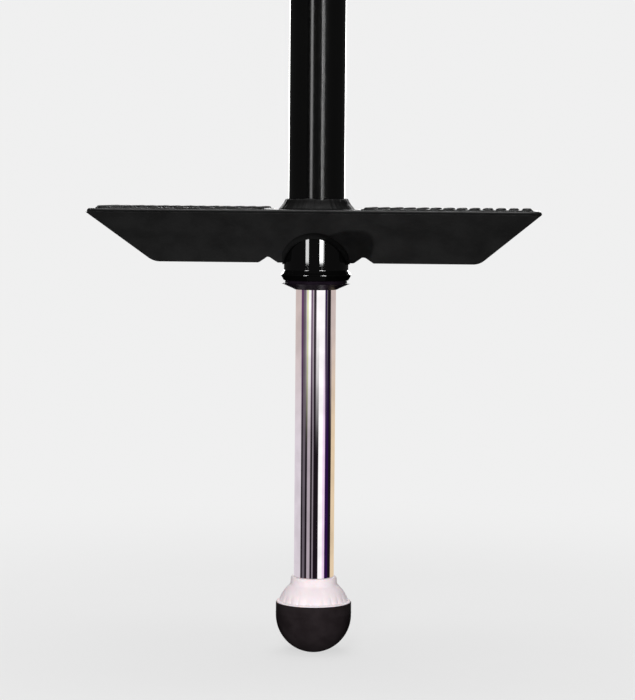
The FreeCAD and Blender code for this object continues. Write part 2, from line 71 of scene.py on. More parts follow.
# Tubes and welds; the lip's reach is how far it stands out from the sleeve's barrel
TUBE_WALL = 1.6 * MM
SLIDER_WALL = 1.8 * MM
LIP_WALL = 4.85 * MM
LIP_REACH = 2.15 * MM
FLANGE_TOP_DEPTH = 38.2 * MM
FLANGE_FOOT_DEPTH = 5.0 * MM
SLEEVE_BEAD_WIDTH = 3.3 * MM
SLEEVE_BEAD_HEIGHT = 1.3 * MM
SLEEVE_BEAD_REACH = 22.4 * MM
BAR_BEAD_WIDTH = 3.2 * MM
BAR_BEAD_HEIGHT = 2.6 * MM

# Spring
SPRING_TURNS = 39.5
WIRE_RADIUS = 2.75 * MM

# Treads and grips
LUG_LENGTH = 7.0 * MM
LUG_WIDTH = 3.6 * MM
LUG_HEIGHT = 1.3 * MM
LUG_PITCH = 17.4 * MM
LUG_ROWS = 9
LUG_ROW_PITCH = 7.4 * MM
LUG_MARGIN = 4.2 * MM
TREAD_CORNER = 6.0 * MM
GRIP_RADIUS = 16.0 * MM
RIB_PITCH = 4.0 * MM
RIB_HEIGHT = 0.9 * MM

# Bumper and its collar
TIP_FLAT = 5.0 * MM
SEAT_RADIUS = 24.0 * MM
DOME_RADIUS = 25.0 * MM
DOME_DROP = 6.0 * MM
NECK_RADIUS = 15.6 * MM
FLUTES = 24
FLUTE_DEPTH = 0.6 * MM
FLUTE_TOP = 7.0 * MM
FLUTE_FADE = 5.0 * MM


# ---------------------------------------------------------------- mesh tools


def piece(name, build, material, body, node, sharp=35):
    """A mesh object from a filled bmesh, finished, riding on a body and standing for its CAD node."""
    bmesh.ops.remove_doubles(build, verts=build.verts, dist=1e-7)
    bmesh.ops.recalc_face_normals(build, faces=build.faces)
    mesh = bpy.data.meshes.new(name)
    build.to_mesh(mesh)
    build.free()
    mesh.shade_smooth()
    mesh.set_sharp_from_angle(angle=math.radians(sharp))
    mesh.materials.append(material)
    made = bpy.data.objects.new(name, mesh)
    bpy.context.scene.collection.objects.link(made)
    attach(made, body)
    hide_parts(node)
    return made


def skin(build, loops, joined=False, capped=False):
    """Faces between equal closed loops; the last loop joins the first, or both ends are capped."""
    rings = [[build.verts.new(p) for p in loop] for loop in loops]
    count = len(rings[0])
    steps = len(rings) if joined else len(rings) - 1
    for i in range(steps):
        low, high = rings[i], rings[(i + 1) % len(rings)]
        for j in range(count):
            k = (j + 1) % count
            build.faces.new((low[j], low[k], high[k], high[j]))
    if capped:
        build.faces.new(rings[0])
        build.faces.new(rings[-1])


def eased(outline, radius, steps=4):
    """A closed outline with rounded corners, and a support point on each side of each corner."""
    result = []
    count = len(outline)
    for i in range(count):
        corner = Vector(outline[i])
        before = Vector(outline[i - 1]) - corner
        after = Vector(outline[(i + 1) % count]) - corner
        if before.angle(-after) < math.radians(2):
            result.append(tuple(corner))
            continue
        start = corner + before.normalized() * min(radius, before.length * 0.4)
        end = corner + after.normalized() * min(radius, after.length * 0.4)
        result.append(tuple(start + (start - corner) * 0.2))
        for step in range(steps + 1):
            t = step / steps
            middle = start.lerp(corner, t).lerp(corner.lerp(end, t), t)
            result.append(tuple(middle))
        result.append(tuple(end + (end - corner) * 0.2))
    return result


def turned(outline, along="Z", height=0.0, shape=None, around=AROUND):
    """Loops of a (radius, length) outline turned about the stick's axis, or about a bar along X."""
    loops = []
    for radius, length in outline:
        loop = []
        for step in range(around):
            angle = 2 * math.pi * step / around
            r = radius if shape is None else shape(radius, length, angle)
            if along == "Z":
                loop.append((r * math.sin(angle), -r * math.cos(angle), length))
            else:
                loop.append((length, r * math.sin(angle), height + r * math.cos(angle)))
        loops.append(loop)
    return loops


def sweep(path, sides, ups, section, swell=None):
    """Loops of a (side, up) section carried along a path, with its size changed by swell(step)."""
    loops = []
    for step, (place, side, up) in enumerate(zip(path, sides, ups)):
        size = 1.0 if swell is None else swell(step)
        loops.append([place + side * (a * size) + up * (b * size) for a, b in section])
    return loops


def arc(radius, centre, first, last, steps):
    """(radius, height) points of a ball's profile between two heights."""
    low = math.asin(max(-1.0, (first - centre) / radius))
    high = math.asin(min(1.0, (last - centre) / radius))
    angles = [low + (high - low) * i / steps for i in range(steps + 1)]
    return [(radius * math.cos(a), centre + radius * math.sin(a)) for a in angles]


def weld_swell(spacing, offset):
    """The size of a hand-laid bead at each step: overlapping ripples and slow unevenness."""

    def swell(step):
        ripple = (step * spacing) % 1.0
        uneven = noise.noise(Vector((step * 0.11, offset, 0.0)))
        return 1.0 + 0.07 * (1 - ripple) ** 2 - 0.03 + 0.10 * uneven

    return swell


# ---------------------------------------------------------------- materials


def new_material(name, **values):
    """A material, its node tree and its Principled shader with the given uniform values."""
    material = bpy.data.materials.new(name)
    material.use_nodes = True
    tree = material.node_tree
    shader = tree.nodes["Principled BSDF"]
    for socket, value in values.items():
        shader.inputs[socket.replace("_", " ")].default_value = value
    return material, tree, shader


def pattern(tree, size, detail=4.0, stretch=(1, 1, 1)):
    """A noise pattern in the object's own space, with features of about the given size in metres."""
    place = tree.nodes.new("ShaderNodeTexCoord")
    mapping = tree.nodes.new("ShaderNodeMapping")
    mapping.inputs["Scale"].default_value = [s / size for s in stretch]
    tree.links.new(place.outputs["Object"], mapping.inputs["Vector"])
    texture = tree.nodes.new("ShaderNodeTexNoise")
    texture.inputs["Scale"].default_value = 1.0
    texture.inputs["Detail"].default_value = detail
    tree.links.new(mapping.outputs["Vector"], texture.inputs["Vector"])
    return texture.outputs[0]


def span(tree, value, low, high, start=0.3, end=0.7):
    """value between start and end, mapped onto low to high."""
    node = tree.nodes.new("ShaderNodeMapRange")
    node.interpolation_type = "SMOOTHSTEP"
    for socket, number in zip(("From Min", "From Max", "To Min", "To Max"), (start, end, low, high)):
        node.inputs[socket].default_value = number
    tree.links.new(value, node.inputs["Value"])
    return node.outputs["Result"]


def blend(tree, factor, first, second):
    """A colour between two others; each is a colour or the output of another node."""
    node = tree.nodes.new("ShaderNodeMix")
    node.data_type = "RGBA"
    tree.links.new(factor, node.inputs["Factor"])
    for socket, colour in ((node.inputs[6], first), (node.inputs[7], second)):
        if isinstance(colour, bpy.types.NodeSocket):
            tree.links.new(colour, socket)
        else:
            socket.default_value = colour
    return node.outputs[2]


def product(tree, first, second):
    """One node's output times another's."""
    node = tree.nodes.new("ShaderNodeMath")
    node.operation = "MULTIPLY"
    tree.links.new(first, node.inputs[0])
    tree.links.new(second, node.inputs[1])
    return node.outputs[0]


def edge_factor(tree, radius):
    """1 near the sharp edges of a piece, and 0 on its faces."""
    soft = tree.nodes.new("ShaderNodeBevel")
    soft.inputs["Radius"].default_value = radius
    plain = tree.nodes.new("ShaderNodeNewGeometry")
    match = tree.nodes.new("ShaderNodeVectorMath")
    match.operation = "DOT_PRODUCT"
    tree.links.new(soft.outputs[0], match.inputs[0])
    tree.links.new(plain.outputs["Normal"], match.inputs[1])
    return span(tree, match.outputs["Value"], 1.0, 0.0, 0.86, 0.995)


def relief(tree, shader, heights, soft_edge=None):
    """Bumps of (pattern, depth in metres) laid over each other, on edges softened by a bevel radius."""
    normal = None
    if soft_edge:
        bevel = tree.nodes.new("ShaderNodeBevel")
        bevel.inputs["Radius"].default_value = soft_edge
        normal = bevel.outputs[0]
    for height, depth in heights:
        bump = tree.nodes.new("ShaderNodeBump")
        bump.inputs["Distance"].default_value = depth
        tree.links.new(height, bump.inputs["Height"])
        if normal:
            tree.links.new(normal, bump.inputs["Normal"])
        normal = bump.outputs["Normal"]
    tree.links.new(normal, shader.inputs["Normal"])


def paint(name, dark, light, smooth, rough, peel, specular=0.5):
    """Black paint with slow colour variation, orange peel and dust specks."""
    material, tree, shader = new_material(name, Specular_IOR_Level=specular)
    clouds = pattern(tree, 26 * MM)
    specks = span(tree, pattern(tree, 0.5 * MM, 1.0), 0.0, 1.0, 0.68, 0.78)
    body = blend(tree, clouds, (*dark, 1), (*light, 1))
    dust = product(tree, specks, span(tree, clouds, 0.0, 0.25))
    body = blend(tree, dust, body, (0.05, 0.05, 0.05, 1))
    tree.links.new(body, shader.inputs["Base Color"])
    tree.links.new(span(tree, pattern(tree, 7 * MM), smooth, rough), shader.inputs["Roughness"])
    fine, slow = pattern(tree, 1.3 * MM, 2.0), pattern(tree, 9 * MM, 2.0)
    relief(tree, shader, [(fine, peel), (slow, peel * 3)])
    return material


def powder_coat(name, grain, depth, colour, soft_edge):
    """Matt black powder coat: a fine grain, uneven gloss and slightly lighter rubbed edges."""
    material, tree, shader = new_material(name, Specular_IOR_Level=0.4)
    clouds = pattern(tree, 18 * MM)
    light = [c * 1.6 for c in colour]
    body = blend(tree, span(tree, clouds, 0.0, 1.0), (*colour, 1), (*light, 1))
    fine = pattern(tree, grain, 2.0)
    body = blend(tree, span(tree, fine, 0.0, 0.35, 0.55, 0.8), body, (0.03, 0.03, 0.03, 1))
    rub = product(tree, edge_factor(tree, soft_edge), span(tree, pattern(tree, 2.2 * MM), 0.0, 0.7))
    body = blend(tree, rub, body, (0.05, 0.049, 0.048, 1))
    tree.links.new(body, shader.inputs["Base Color"])
    tree.links.new(span(tree, pattern(tree, 5 * MM), 0.42, 0.56), shader.inputs["Roughness"])
    relief(tree, shader, [(fine, depth), (pattern(tree, 6 * MM), depth * 2)], soft_edge)
    return material


def rubber(name, colour, smooth, rough, grain, specular=0.4):
    """Moulded rubber: a matt skin with a faint bloom, fine pits and small scuffs."""
    material, tree, shader = new_material(name, Specular_IOR_Level=specular)
    clouds = pattern(tree, 9 * MM)
    bloom = [c * 1.35 + 0.002 for c in colour]
    body = blend(tree, span(tree, clouds, 0.0, 1.0), (*colour, 1), (*bloom, 1))
    scuffs = span(tree, pattern(tree, 1.6 * MM, 3.0, (1, 1, 5)), 0.0, 0.3, 0.62, 0.75)
    body = blend(tree, scuffs, body, (*[c * 2.2 + 0.004 for c in colour], 1))
    tree.links.new(body, shader.inputs["Base Color"])
    tree.links.new(span(tree, clouds, smooth, rough), shader.inputs["Roughness"])
    pits = pattern(tree, grain, 2.0)
    relief(tree, shader, [(pits, 0.02 * MM), (pattern(tree, 4 * MM), 0.03 * MM)])
    return material


def metal(name, colour, smooth, rough, lines, depth=0.002 * MM, soft_edge=None):
    """Bare or plated metal with fine lines one way, faint smears and small dull spots."""
    material, tree, shader = new_material(name, Metallic=1.0)
    smears = pattern(tree, 14 * MM, 5.0)
    dull = [c * 0.86 for c in colour]
    body = blend(tree, span(tree, smears, 0.0, 1.0), (*colour, 1), (*dull, 1))
    tree.links.new(body, shader.inputs["Base Color"])
    scratches = pattern(tree, 0.9 * MM, 3.0, lines)
    both = product(tree, span(tree, smears, 0.6, 1.0), span(tree, scratches, smooth, rough))
    tree.links.new(both, shader.inputs["Roughness"])
    relief(tree, shader, [(scratches, depth)], soft_edge)
    return material


def plastic(name, colour, smooth, rough, translucent=0.0, painted_glow=0.0):
    """Moulded plastic with slight flow marks and a fine skin texture; a painted glow, an emission that no
    lamp gives, can brighten it.
    """
    material, tree, shader = new_material(
        name,
        Subsurface_Weight=translucent,
        Subsurface_Scale=3 * MM,
        Specular_IOR_Level=0.35,
        # Emission colour and strength are a painted glow: light the plastic gives off though it is no lamp.
        Emission_Color=(0.95, 0.86, 0.89, 1),
        Emission_Strength=painted_glow,
    )
    flow = pattern(tree, 12 * MM, 3.0, (1, 1, 0.4))
    shade = [c * 0.9 for c in colour]
    body = blend(tree, span(tree, flow, 0.0, 1.0), (*colour, 1), (*shade, 1))
    tree.links.new(body, shader.inputs["Base Color"])
    tree.links.new(span(tree, flow, smooth, rough), shader.inputs["Roughness"])
    relief(tree, shader, [(pattern(tree, 0.6 * MM, 2.0), 0.006 * MM), (flow, 0.05 * MM)])
    return material


def make_materials():
    """One material for each finish of the record, by name."""
    return {
        "tube_paint": paint("tube_paint", (0.003,) * 3, (0.0045,) * 3, 0.12, 0.15, 0.002 * MM),
        "sleeve_paint": paint("sleeve_paint", (0.003,) * 3, (0.005,) * 3, 0.02, 0.035, 0.0003 * MM),
        "weld_paint": paint("weld_paint", (0.0045,) * 3, (0.0075,) * 3, 0.42, 0.58, 0.02 * MM, specular=0.2),
        "platform_coat": powder_coat("platform_coat", 0.7 * MM, 0.02 * MM, (0.007,) * 3, 0.8 * MM),
        "tread_coat": powder_coat("tread_coat", 0.45 * MM, 0.06 * MM, (0.006,) * 3, 0.35 * MM),
        "chrome": metal("chrome", (0.93, 0.92, 0.93), 0.025, 0.05, (1, 1, 0.04), 0.0004 * MM),
        "steel": metal("steel", (0.48, 0.47, 0.46), 0.28, 0.42, (1, 1, 6)),
        "spring_steel": metal("spring_steel", (0.22, 0.22, 0.23), 0.32, 0.5, (1, 1, 1)),
        "zinc": metal("zinc", (0.62, 0.64, 0.66), 0.25, 0.4, (1, 3, 1), soft_edge=0.3 * MM),
        "seal_rubber": rubber("seal_rubber", (0.016, 0.010, 0.018), 0.42, 0.55, 0.5 * MM, 0.25),
        "bumper_rubber": rubber("bumper_rubber", (0.0120, 0.0090, 0.0100), 0.62, 0.78, 0.35 * MM, 0.2),
        "damper_rubber": rubber("damper_rubber", (0.018, 0.018, 0.018), 0.6, 0.75, 0.6 * MM),
        "grip_rubber": rubber("grip_rubber", (0.012, 0.012, 0.012), 0.5, 0.68, 0.3 * MM),
        # The pale plastic's last value is its painted glow, an emission that brightens the collar beyond its
        # lighting.
        "pale_plastic": plastic("pale_plastic", (0.60, 0.53, 0.55), 0.42, 0.55, 0.25, 0.27),
        "black_plastic": plastic("black_plastic", (0.012, 0.012, 0.012), 0.3, 0.45),
        "nylon": plastic("nylon", (0.62, 0.60, 0.52), 0.38, 0.5, 0.15),
    }


CAD_FINISHES = {
    "foot_platform": "platform_coat",
    "handlebar": "tube_paint",
    "lower_bush": "nylon",
    "rebound_damper": "damper_rubber",
    "piston_bush": "nylon",
    "piston_pin": "steel",
    "slider_top_plug": "steel",
    "spring_cup": "steel",
    "upper_spring_seat": "nylon",
    "spring_bolt": "zinc",
    "bolt_washers": "zinc",
    "lock_nut": "zinc",
    "slider_end_plug": "steel",
    "bumper_stud": "steel",
    "top_cap": "black_plastic",
    "bar_plug_left": "black_plastic",
    "bar_plug_right": "black_plastic",
}


# ---------------------------------------------------------------- pieces


def studio_turn():
    """The turn of the whole studio about the stick, which shows the platform a little from its right."""
    return Matrix.Rotation(math.radians(CAMERA_ORBIT), 4, "Z")


def make_camera():
    """The camera, just above the platform and looking a little down."""
    camera = bpy.data.objects.new("camera", bpy.data.cameras.new("camera"))
    camera.data.lens = LENS
    camera.data.dof.use_dof = False
    turn = Matrix.Rotation(math.radians(-CAMERA_YAW), 4, "Z")
    tilt = Matrix.Rotation(math.radians(90 + CAMERA_PITCH), 4, "X")
    roll = Matrix.Rotation(math.radians(CAMERA_ROLL), 4, "Z")
    camera.matrix_world = studio_turn() @ Matrix.Translation(CAMERA_PLACE) @ turn @ tilt @ roll
    bpy.context.scene.collection.objects.link(camera)
    bpy.context.scene.camera = camera


def solid_of(outline, **options):
    """A bmesh of a closed outline turned about an axis."""
    build = bmesh.new()
    skin(build, turned(outline, **options), joined=True)
    return build


def wall_outline(low, high, wall):
    """The outline of a tube's wall, from the lowest and highest corners of the tube's box."""
    return [(high.x - wall, low.z), (high.x, low.z), (high.x, high.z), (high.x - wall, high.z)]


def make_main_tube(mats):
    """The main tube, with softened ends."""
    low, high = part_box("main_tube")
    build = solid_of(eased(wall_outline(low, high, TUBE_WALL), 0.3 * MM))
    piece("main_tube_visual", build, mats["tube_paint"], "stick", "main_tube")


def make_sleeve(mats):
    """A straight barrel that meets its flared lip in a crisp neck."""
    low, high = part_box("lower_sleeve")
    lip, foot = high.x, low.z
    barrel, bore = lip - LIP_REACH, lip - LIP_WALL
    outline = [
        (bore, foot),
        (lip - 2.0 * MM, foot),
        (lip - 0.4 * MM, foot + 2.9 * MM),
        (lip, foot + 3.6 * MM),
        (lip - 0.4 * MM, foot + 4.3 * MM),
        (lip - 1.2 * MM, foot + 5.3 * MM),
        (barrel + 0.02 * MM, foot + 6.86 * MM),
        (barrel, foot + 6.9 * MM),
        (barrel, high.z),
        (bore, high.z),
    ]
    build = solid_of(eased(outline, 0.35 * MM))
    piece("lower_sleeve_visual", build, mats["sleeve_paint"], "stick", "lower_sleeve")


def make_seal(mats):
    """A plug with a shoulder, a thin flared lip and a wiper that closes on the slider."""
    low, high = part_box("rubber_seal")
    lip = high.x
    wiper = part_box("slider_tube")[1].x + 0.05 * MM
    outline = [
        (wiper, low.z + 1.2 * MM),
        (wiper + 0.6 * MM, low.z + 1.2 * MM),
        (wiper + 2.2 * MM, low.z + 2.1 * MM),
        (wiper + 5.0 * MM, low.z + 3.3 * MM),
        (lip - 1.6 * MM, low.z + 4.6 * MM),
        (lip, low.z + 5.1 * MM),
        (lip, low.z + 5.35 * MM),
        (lip - 2.1 * MM, low.z + 5.9 * MM),
        (lip - 2.1 * MM, low.z + 7.4 * MM),
        (lip - 4.1 * MM, low.z + 7.5 * MM),
        (lip - 4.1 * MM, high.z),
        (wiper + 0.9 * MM, high.z),
        (wiper + 0.9 * MM, low.z + 4.0 * MM),
        (wiper, low.z + 3.0 * MM),
    ]
    build = solid_of(eased(outline, 0.25 * MM))
    piece("rubber_seal_visual", build, mats["seal_rubber"], "stick", "rubber_seal")


def make_slider(mats):
    """The chrome tube, with softened ends."""
    low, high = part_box("slider_tube")
    build = solid_of(eased(wall_outline(low, high, SLIDER_WALL), 0.4 * MM), around=SLIDER_AROUND)
    piece("slider_tube_visual", build, mats["chrome"], "slider", "slider_tube")


def make_bumper(mats):
    """The rubber ball cup, with a faint mould line round its widest part."""
    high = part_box("bumper_tip")[1]
    radius = high.x
    centre = math.sqrt(radius**2 - TIP_FLAT**2)
    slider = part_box("slider_tube")[1].x
    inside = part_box("slider_end_plug")[0].z
    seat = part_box("bumper_collar")[0].z
    ball = arc(radius, centre, 0, centre, 40)
    outline = [(0, 0)] + ball + [
        (radius, centre + 1.2 * MM),
        (radius + 0.12 * MM, centre + 1.6 * MM),
        (radius, centre + 2.0 * MM),
        (radius, high.z - 0.35 * MM),
        (radius - 0.1 * MM, high.z - 0.1 * MM),
        (radius - 0.3 * MM, high.z),
        (SEAT_RADIUS, high.z),
        (SEAT_RADIUS, seat),
        (slider, seat),
        (slider, inside),
        (0, inside),
    ]
    build = bmesh.new()
    skin(build, turned(outline))
    piece("bumper_tip_visual", build, mats["bumper_rubber"], "slider", "bumper_tip")


def make_collar(mats):
    """A fluted dome with a thin flange on the bumper's rim and a short neck round the slider."""
    low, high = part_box("bumper_collar")
    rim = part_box("bumper_tip")[1].z
    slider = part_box("slider_tube")[1].x
    flange, centre = high.x, low.z - DOME_DROP
    top = centre + math.sqrt(DOME_RADIUS**2 - (NECK_RADIUS + 0.9 * MM) ** 2)
    outline = [
        (slider, low.z),
        (SEAT_RADIUS, low.z),
        (SEAT_RADIUS, rim + 0.02 * MM),
        (flange - 0.05 * MM, rim + 0.02 * MM),
        (flange, rim + 0.2 * MM),
        (flange - 0.15 * MM, rim + 0.55 * MM),
        (flange - 0.6 * MM, rim + 0.7 * MM),
    ] + arc(DOME_RADIUS, centre, rim + 1.0 * MM, top, 40) + [
        (NECK_RADIUS + 0.45 * MM, top + 0.8 * MM),
        (NECK_RADIUS + 0.15 * MM, top + 1.8 * MM),
        (NECK_RADIUS, high.z - 1.6 * MM),
        (NECK_RADIUS - 0.15 * MM, high.z - 0.6 * MM),
        (NECK_RADIUS - 0.5 * MM, high.z - 0.15 * MM),
        (NECK_RADIUS - 0.9 * MM, high.z),
        (slider, high.z),
    ]

    def flute(radius, height, angle):
        """Pointed ribs that fade in towards the bumper's rim."""
        depth = FLUTE_DEPTH * max(0.0, min(1.0, (rim + FLUTE_TOP - height) / FLUTE_FADE))
        if radius < 20 * MM or height < rim + 0.75 * MM:
            return radius
        return radius - depth * (1 - abs(math.cos(angle * FLUTES / 2)) ** 0.7)

    build = solid_of(outline, shape=flute, around=FLUTES * 16)
    finish = mats["pale_plastic"]
    piece("bumper_collar_visual", build, finish, "slider", "bumper_collar", sharp=50)


def make_spring(mats):
    """One helix of round wire."""
    low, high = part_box("main_spring")
    mean = high.x - WIRE_RADIUS
    start = low.z + WIRE_RADIUS
    rise = high.z - low.z - 2 * WIRE_RADIUS
    steps = int(SPRING_TURNS * 32)
    path, sides, ups = [], [], []
    for step in range(steps + 1):
        angle = 2 * math.pi * SPRING_TURNS * step / steps
        out = Vector((math.cos(angle), math.sin(angle), 0))
        path.append(out * mean + Vector((0, 0, start + rise * step / steps)))
        sides.append(out)
        ups.append(Vector((0, 0, 1)))
    turn = [2 * math.pi * i / 14 for i in range(14)]
    wire = [(WIRE_RADIUS * math.cos(a), WIRE_RADIUS * math.sin(a)) for a in turn]
    build = bmesh.new()
    skin(build, sweep(path, sides, ups, wire), capped=True)
    coil = piece("main_spring_visual", build, mats["spring_steel"], "stick", "main_spring")
    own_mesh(coil)


def bead_section(width, height, steps=9):
    """Half an oval, wider than high, with its foot sunk a little into the metal."""
    angles = [math.pi * i / steps for i in range(steps + 1)]
    dome = [(width * math.cos(a), height * math.sin(a)) for a in angles]
    return dome + [(-width, -0.3 * MM), (width, -0.3 * MM)]


def fillet_section(width, height):
    """A corner bead between a wall (side 0) and a floor (up 0), with a slightly hollow face."""
    face = [
        (1.0, 0.03), (0.90, 0.13), (0.74, 0.31), (0.58, 0.50),
        (0.45, 0.70), (0.36, 0.88), (0.28, 0.98), (0.0, 1.0),
    ]
    rise = [(width * a, height * b) for a, b in face]
    return [(-0.2 * MM, -0.1 * MM), (width, -0.1 * MM)] + rise + [(-0.2 * MM, height)]


def make_platform_weld(mats):
    """The hand-laid bead round the main tube, on top of the platform."""
    low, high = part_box("platform_weld")
    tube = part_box("main_tube")[1].x
    steps = 288
    angles = [2 * math.pi * i / steps for i in range(steps)]
    sides = [Vector((math.cos(a), math.sin(a), 0)) for a in angles]
    path = [side * tube + Vector((0, 0, low.z)) for side in sides]
    ups = [Vector((0, 0, 1))] * steps
    section = fillet_section(high.x - tube, (high.z - low.z) * 0.96)

    def swell(step):
        """Overlapping ripples on a slow wave that closes on itself."""
        around = step / steps
        wave = noise.noise(sides[step] * 2.3) + 0.8 * noise.noise(sides[step] * 8.0)
        return 0.98 + 0.04 * (1 - (around * 40) % 1.0) ** 2 + 0.08 * wave

    build = bmesh.new()
    skin(build, sweep(path, sides, ups, section, swell), joined=True)
    piece("platform_weld_visual", build, mats["weld_paint"], "stick", "platform_weld", sharp=60)


def make_sleeve_weld(mats, name, facing):
    """The bead round the sleeve where it meets a flange; facing is -1 at the front and 1 at the back."""
    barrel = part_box("lower_sleeve")[1].x - LIP_REACH
    top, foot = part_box("lower_sleeve")[1].z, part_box("foot_platform")[0].z
    slope = (top - foot) / (FLANGE_TOP_DEPTH - FLANGE_FOOT_DEPTH)
    lean = Vector((0, facing * slope, -1)).normalized()
    reach = math.acos((FLANGE_FOOT_DEPTH + 0.3 * MM) / (barrel + SLEEVE_BEAD_WIDTH))
    steps = 120
    bead = bead_section(1.0, SLEEVE_BEAD_HEIGHT)
    section = [((a + 0.9) * SLEEVE_BEAD_WIDTH / 1.9, b) for a, b in bead]
    ripple = weld_swell(0.31, facing)
    loops = []
    for step in range(steps + 1):
        angle = reach * (2 * step / steps - 1)
        loop = []
        for out, raised in section:
            radius = barrel + out
            x = max(-SLEEVE_BEAD_REACH, min(SLEEVE_BEAD_REACH, radius * math.sin(angle)))
            depth = radius * math.cos(angle)
            place = Vector((x, facing * depth, foot + (depth - FLANGE_FOOT_DEPTH) * slope))
            loop.append(place + lean * raised * ripple(step))
        loops.append(loop)
    build = bmesh.new()
    skin(build, loops, capped=True)
    piece(name + "_visual", build, mats["weld_paint"], "stick", name, sharp=60)


def make_bar_weld(mats, name, hand):
    """The saddle bead where the handlebar leaves the main tube; hand is -1 for left, 1 for right."""
    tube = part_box("main_tube")[1].x
    low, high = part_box("handlebar")
    bar, height = high.y, (low.z + high.z) / 2
    steps = 160
    path, sides, ups = [], [], []
    for step in range(steps):
        angle = 2 * math.pi * step / steps
        out = Vector((0, math.sin(angle), math.cos(angle)))
        reach = math.sqrt(tube**2 - (bar * out.y) ** 2)
        path.append(Vector((hand * reach, 0, height)) + out * bar)
        sides.append(out)
        ups.append(Vector((hand, 0, 0)))
    build = bmesh.new()
    section = fillet_section(BAR_BEAD_WIDTH, BAR_BEAD_HEIGHT)
    swell = weld_swell(26 / steps, hand)

    def closed_swell(step):
        """The swell, with its unevenness faded out where the bead's end meets its start."""
        near = min(step, steps - step) / steps
        return 1.0 + (swell(step) - 1.0) * min(1.0, near * 12)

    skin(build, sweep(path, sides, ups, section, closed_swell), joined=True)
    piece(name + "_visual", build, mats["weld_paint"], "stick", name, sharp=60)


def plate_loop(x_low, x_high, half_depth, corner, inset, height):
    """A rounded rectangle, drawn in from its edge by an inset."""
    loop = []
    corners = ((x_high, 1, 0), (x_low, 1, 90), (x_low, -1, 180), (x_high, -1, 270))
    for x_edge, side, start in corners:
        x_centre = x_edge - corner if x_edge == x_high else x_edge + corner
        y_centre = side * (half_depth - corner)
        for step in range(9):
            angle = math.radians(start + 90 * step / 8)
            reach = corner - inset
            loop.append((x_centre + reach * math.cos(angle), y_centre + reach * math.sin(angle), height))
    return loop


def add_lug(build, x, y, floor):
    """A lens-shaped lug with a domed back and steep ends."""
    across, along = 12, 10
    rows = []
    for i in range(along + 1):
        u = 2 * i / along - 1
        half = LUG_WIDTH / 2 * (1 - u * u)
        row = []
        for j in range(across + 1):
            v = 2 * j / across - 1
            rise = LUG_HEIGHT * (1 - abs(v) ** 3) ** 0.6 * (1 - abs(u) ** 3.5) ** 0.5
            row.append(build.verts.new((x + u * LUG_LENGTH / 2, y + v * half, floor - 0.05 * MM + rise)))
        rows.append(row)
    for i in range(along):
        for j in range(across):
            build.faces.new((rows[i][j], rows[i + 1][j], rows[i + 1][j + 1], rows[i][j + 1]))


def make_tread(mats, name, hand):
    """A thin plate with staggered rows of lugs; hand is -1 on the left and 1 on the right."""
    low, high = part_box(name)
    half = high.y
    floor = high.z - LUG_HEIGHT
    build = bmesh.new()
    levels = [(0, low.z), (0, floor - 0.4 * MM), (0.12 * MM, floor - 0.12 * MM), (0.4 * MM, floor)]
    loops = [plate_loop(low.x, high.x, half, TREAD_CORNER, inset, z) for inset, z in levels]
    skin(build, loops, capped=True)
    outer, inner = (high.x, low.x) if hand > 0 else (low.x, high.x)
    for row in range(LUG_ROWS):
        y = (row - (LUG_ROWS - 1) / 2) * LUG_ROW_PITCH
        x = abs(outer) - LUG_MARGIN - (row % 2) * LUG_PITCH / 2
        while x - LUG_LENGTH / 2 > abs(inner) + 1.0 * MM:
            add_lug(build, hand * x, y, floor)
            x -= LUG_PITCH
    piece(name + "_visual", build, mats["tread_coat"], "stick", name, sharp=50)


def make_grip(mats, name, hand):
    """A ribbed rubber grip with a round flange at its inner end."""
    low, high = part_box(name)
    near, far = min(abs(low.x), abs(high.x)), max(abs(low.x), abs(high.x))
    height = (low.z + high.z) / 2
    flange, bore = high.y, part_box("handlebar")[1].y
    valley, end = GRIP_RADIUS - RIB_HEIGHT, GRIP_RADIUS - 0.2 * MM
    outline = [(bore, near), (flange, near), (flange, near + 3.5 * MM)]
    outline.append((GRIP_RADIUS - 1.2 * MM, near + 5.5 * MM))
    ribs = int((far - near - 12 * MM) / RIB_PITCH)
    for rib in range(ribs):
        start = near + 7.5 * MM + rib * RIB_PITCH
        outline += [
            (valley, start),
            (GRIP_RADIUS, start + 0.7 * MM),
            (GRIP_RADIUS, start + 2.3 * MM),
            (valley, start + 3.0 * MM),
        ]
    outline += [(end, far - 3.0 * MM), (end, far), (bore, far)]
    outline = [(r, hand * x) for r, x in eased(outline, 0.35 * MM, 3)]
    build = solid_of(outline, along="X", height=height, around=128)
    piece(name + "_visual", build, mats["grip_rubber"], "stick", name)


# ---------------------------------------------------------------- studio


def hide_from(thing, *rays):
    """Makes a thing unseen by the given kinds of ray."""
    for ray in rays:
        setattr(thing, "visible_" + ray, False)


def pieces_of(label, *names):
    """A collection of the named pieces, for light linking."""
    group = bpy.data.collections.new(label)
    for name in names:
        group.objects.link(bpy.data.objects.get(name + "_visual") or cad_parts[name])
    return group


def shine_on(thing, *names):
    """Limits an emitting mesh or a lamp to the named pieces."""
    thing.light_linking.receiver_collection = pieces_of(thing.name + "_lit", *names)


def link_mesh(name, build, material):
    """A piece of the studio from a filled bmesh, turned with the studio."""
    mesh = bpy.data.meshes.new(name)
    build.to_mesh(mesh)
    build.free()
    mesh.shade_smooth()
    mesh.materials.append(material)
    made = bpy.data.objects.new(name, mesh)
    made.matrix_world = studio_turn()
    bpy.context.scene.collection.objects.link(made)
    return made


def glow(name, colour, strength=1.0):
    """An emission material and its shader."""
    material = bpy.data.materials.new(name)
    material.use_nodes = True
    tree = material.node_tree
    tree.nodes.remove(tree.nodes["Principled BSDF"])
    light = tree.nodes.new("ShaderNodeEmission")
    light.inputs["Color"].default_value = colour
    light.inputs["Strength"].default_value = strength
    tree.links.new(light.outputs[0], tree.nodes["Material Output"].inputs["Surface"])
    return material, tree, light


